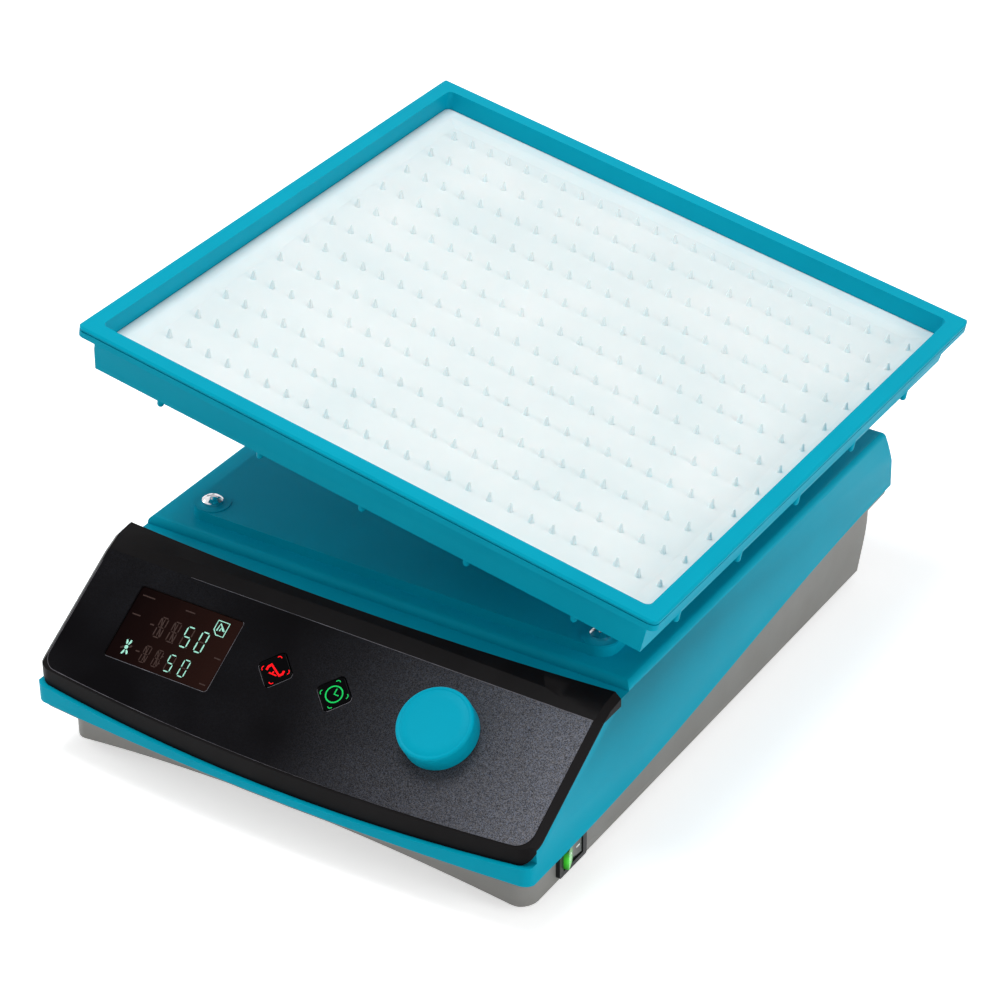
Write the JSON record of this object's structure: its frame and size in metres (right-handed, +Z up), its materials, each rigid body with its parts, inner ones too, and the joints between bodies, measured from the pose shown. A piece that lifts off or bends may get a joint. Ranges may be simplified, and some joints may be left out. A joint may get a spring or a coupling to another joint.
{
  "type": "rocking platform shaker",
  "caption": "Bench rocking shaker: a square tray with a dimpled silicone mat rocks on a front-to-back pivot above a low teal and grey housing with a sloping control panel.",
  "frame": {"origin": "centre of the bounding box at its underside: on the table under the middle of the whole instrument, tray included", "axes": "+Z up; +Y to the back, away from the control panel; +X to the right of someone facing the panel; the tray rocks about an axis along Y"},
  "size_m": [0.2828, 0.3516, 0.1794],
  "materials": {
    "teal_plastic": "satin moulded",
    "grey_plastic": "satin moulded",
    "black_panel": "finely speckled gloss",
    "silicone": "translucent white silicone",
    "steel": "zinc plated",
    "dark_steel": "dark painted",
    "brass": "turned",
    "chrome_screw": "polished",
    "rubber": "matt",
    "board": "green laminate",
    "dark_plastic": "dark moulded",
    "display_glass": "tinted window",
    "switch_green": "lit green",
    "black_plastic": "black moulded"
  },
  "bodies": {
    "base": {"lower_housing": "grey_plastic", "rubber_feet": "rubber", "foot_screws": "steel", "top_cover": "teal_plastic", "cover_screws": "chrome_screw", "control_panel": "black_panel", "display_window": "display_glass", "display_module": "dark_plastic", "control_board": "board", "board_screws": "steel", "key_switches": "dark_plastic", "encoder_body": "dark_plastic", "power_inlet": "black_plastic", "power_switch": "black_plastic", "supply_board": "board", "supply_parts": "dark_plastic", "chassis_plate": "steel", "chassis_screws": "steel", "pivot_stands": "steel", "stand_screws": "steel", "pivot_bushes": "brass", "gearbox": "steel", "motor": "dark_steel", "motor_bracket": "steel"},
    "platform": {"platform_tray": "teal_plastic", "dimpled_mat": "silicone", "carrier_plate": "steel", "carrier_screws": "steel", "shaft_blocks": "steel", "pivot_shaft": "steel", "shaft_rings": "dark_steel", "drive_arm": "steel"},
    "crank": {"crank_disc": "steel", "crank_pin": "brass", "crank_roller": "dark_plastic", "output_shaft": "steel"},
    "knob": {"speed_knob": "teal_plastic", "encoder_shaft": "steel"},
    "run_button": {"run_key": "black_panel"},
    "timer_button": {"timer_key": "black_panel"},
    "switch_rocker": {"power_rocker": "switch_green"}
  },
  "joints": [
    {"name": "platform_rock", "type": "hinge", "parent": "base", "child": "platform", "pos_m": [-0.0051, 0.0324, 0.123], "axis": [0, 1, 0], "range_deg": [-21, 0]},
    {"name": "crank_turn", "type": "hinge", "parent": "base", "child": "crank", "pos_m": [-0.0051, 0.0324, 0.055], "axis": [0, 1, 0], "range_deg": [-180, 0]},
    {"name": "knob_turn", "type": "hinge", "parent": "base", "child": "knob", "pos_m": [0.0592, -0.14008, 0.0609], "axis": [0, -0.5255, 0.8508], "continuous": true},
    {"name": "run_key_press", "type": "slide", "parent": "base", "child": "run_button", "axis": [0, 0.5255, -0.8508], "range_m": [0, 0.0006], "stiffness_N_per_m": 600, "springref_m": -0.0008},
    {"name": "timer_key_press", "type": "slide", "parent": "base", "child": "timer_button", "axis": [0, 0.5255, -0.8508], "range_m": [0, 0.0006], "stiffness_N_per_m": 600, "springref_m": -0.0008},
    {"name": "power_rocker_tilt", "type": "hinge", "parent": "base", "child": "switch_rocker", "pos_m": [0.1104, -0.1266, 0.0139], "axis": [0, 0, 1], "range_deg": [-18, 0]}
  ],
  "couplings": [
    {"joint": "crank_turn", "follows": "platform_rock", "ratio": 8.5714}
  ]
}
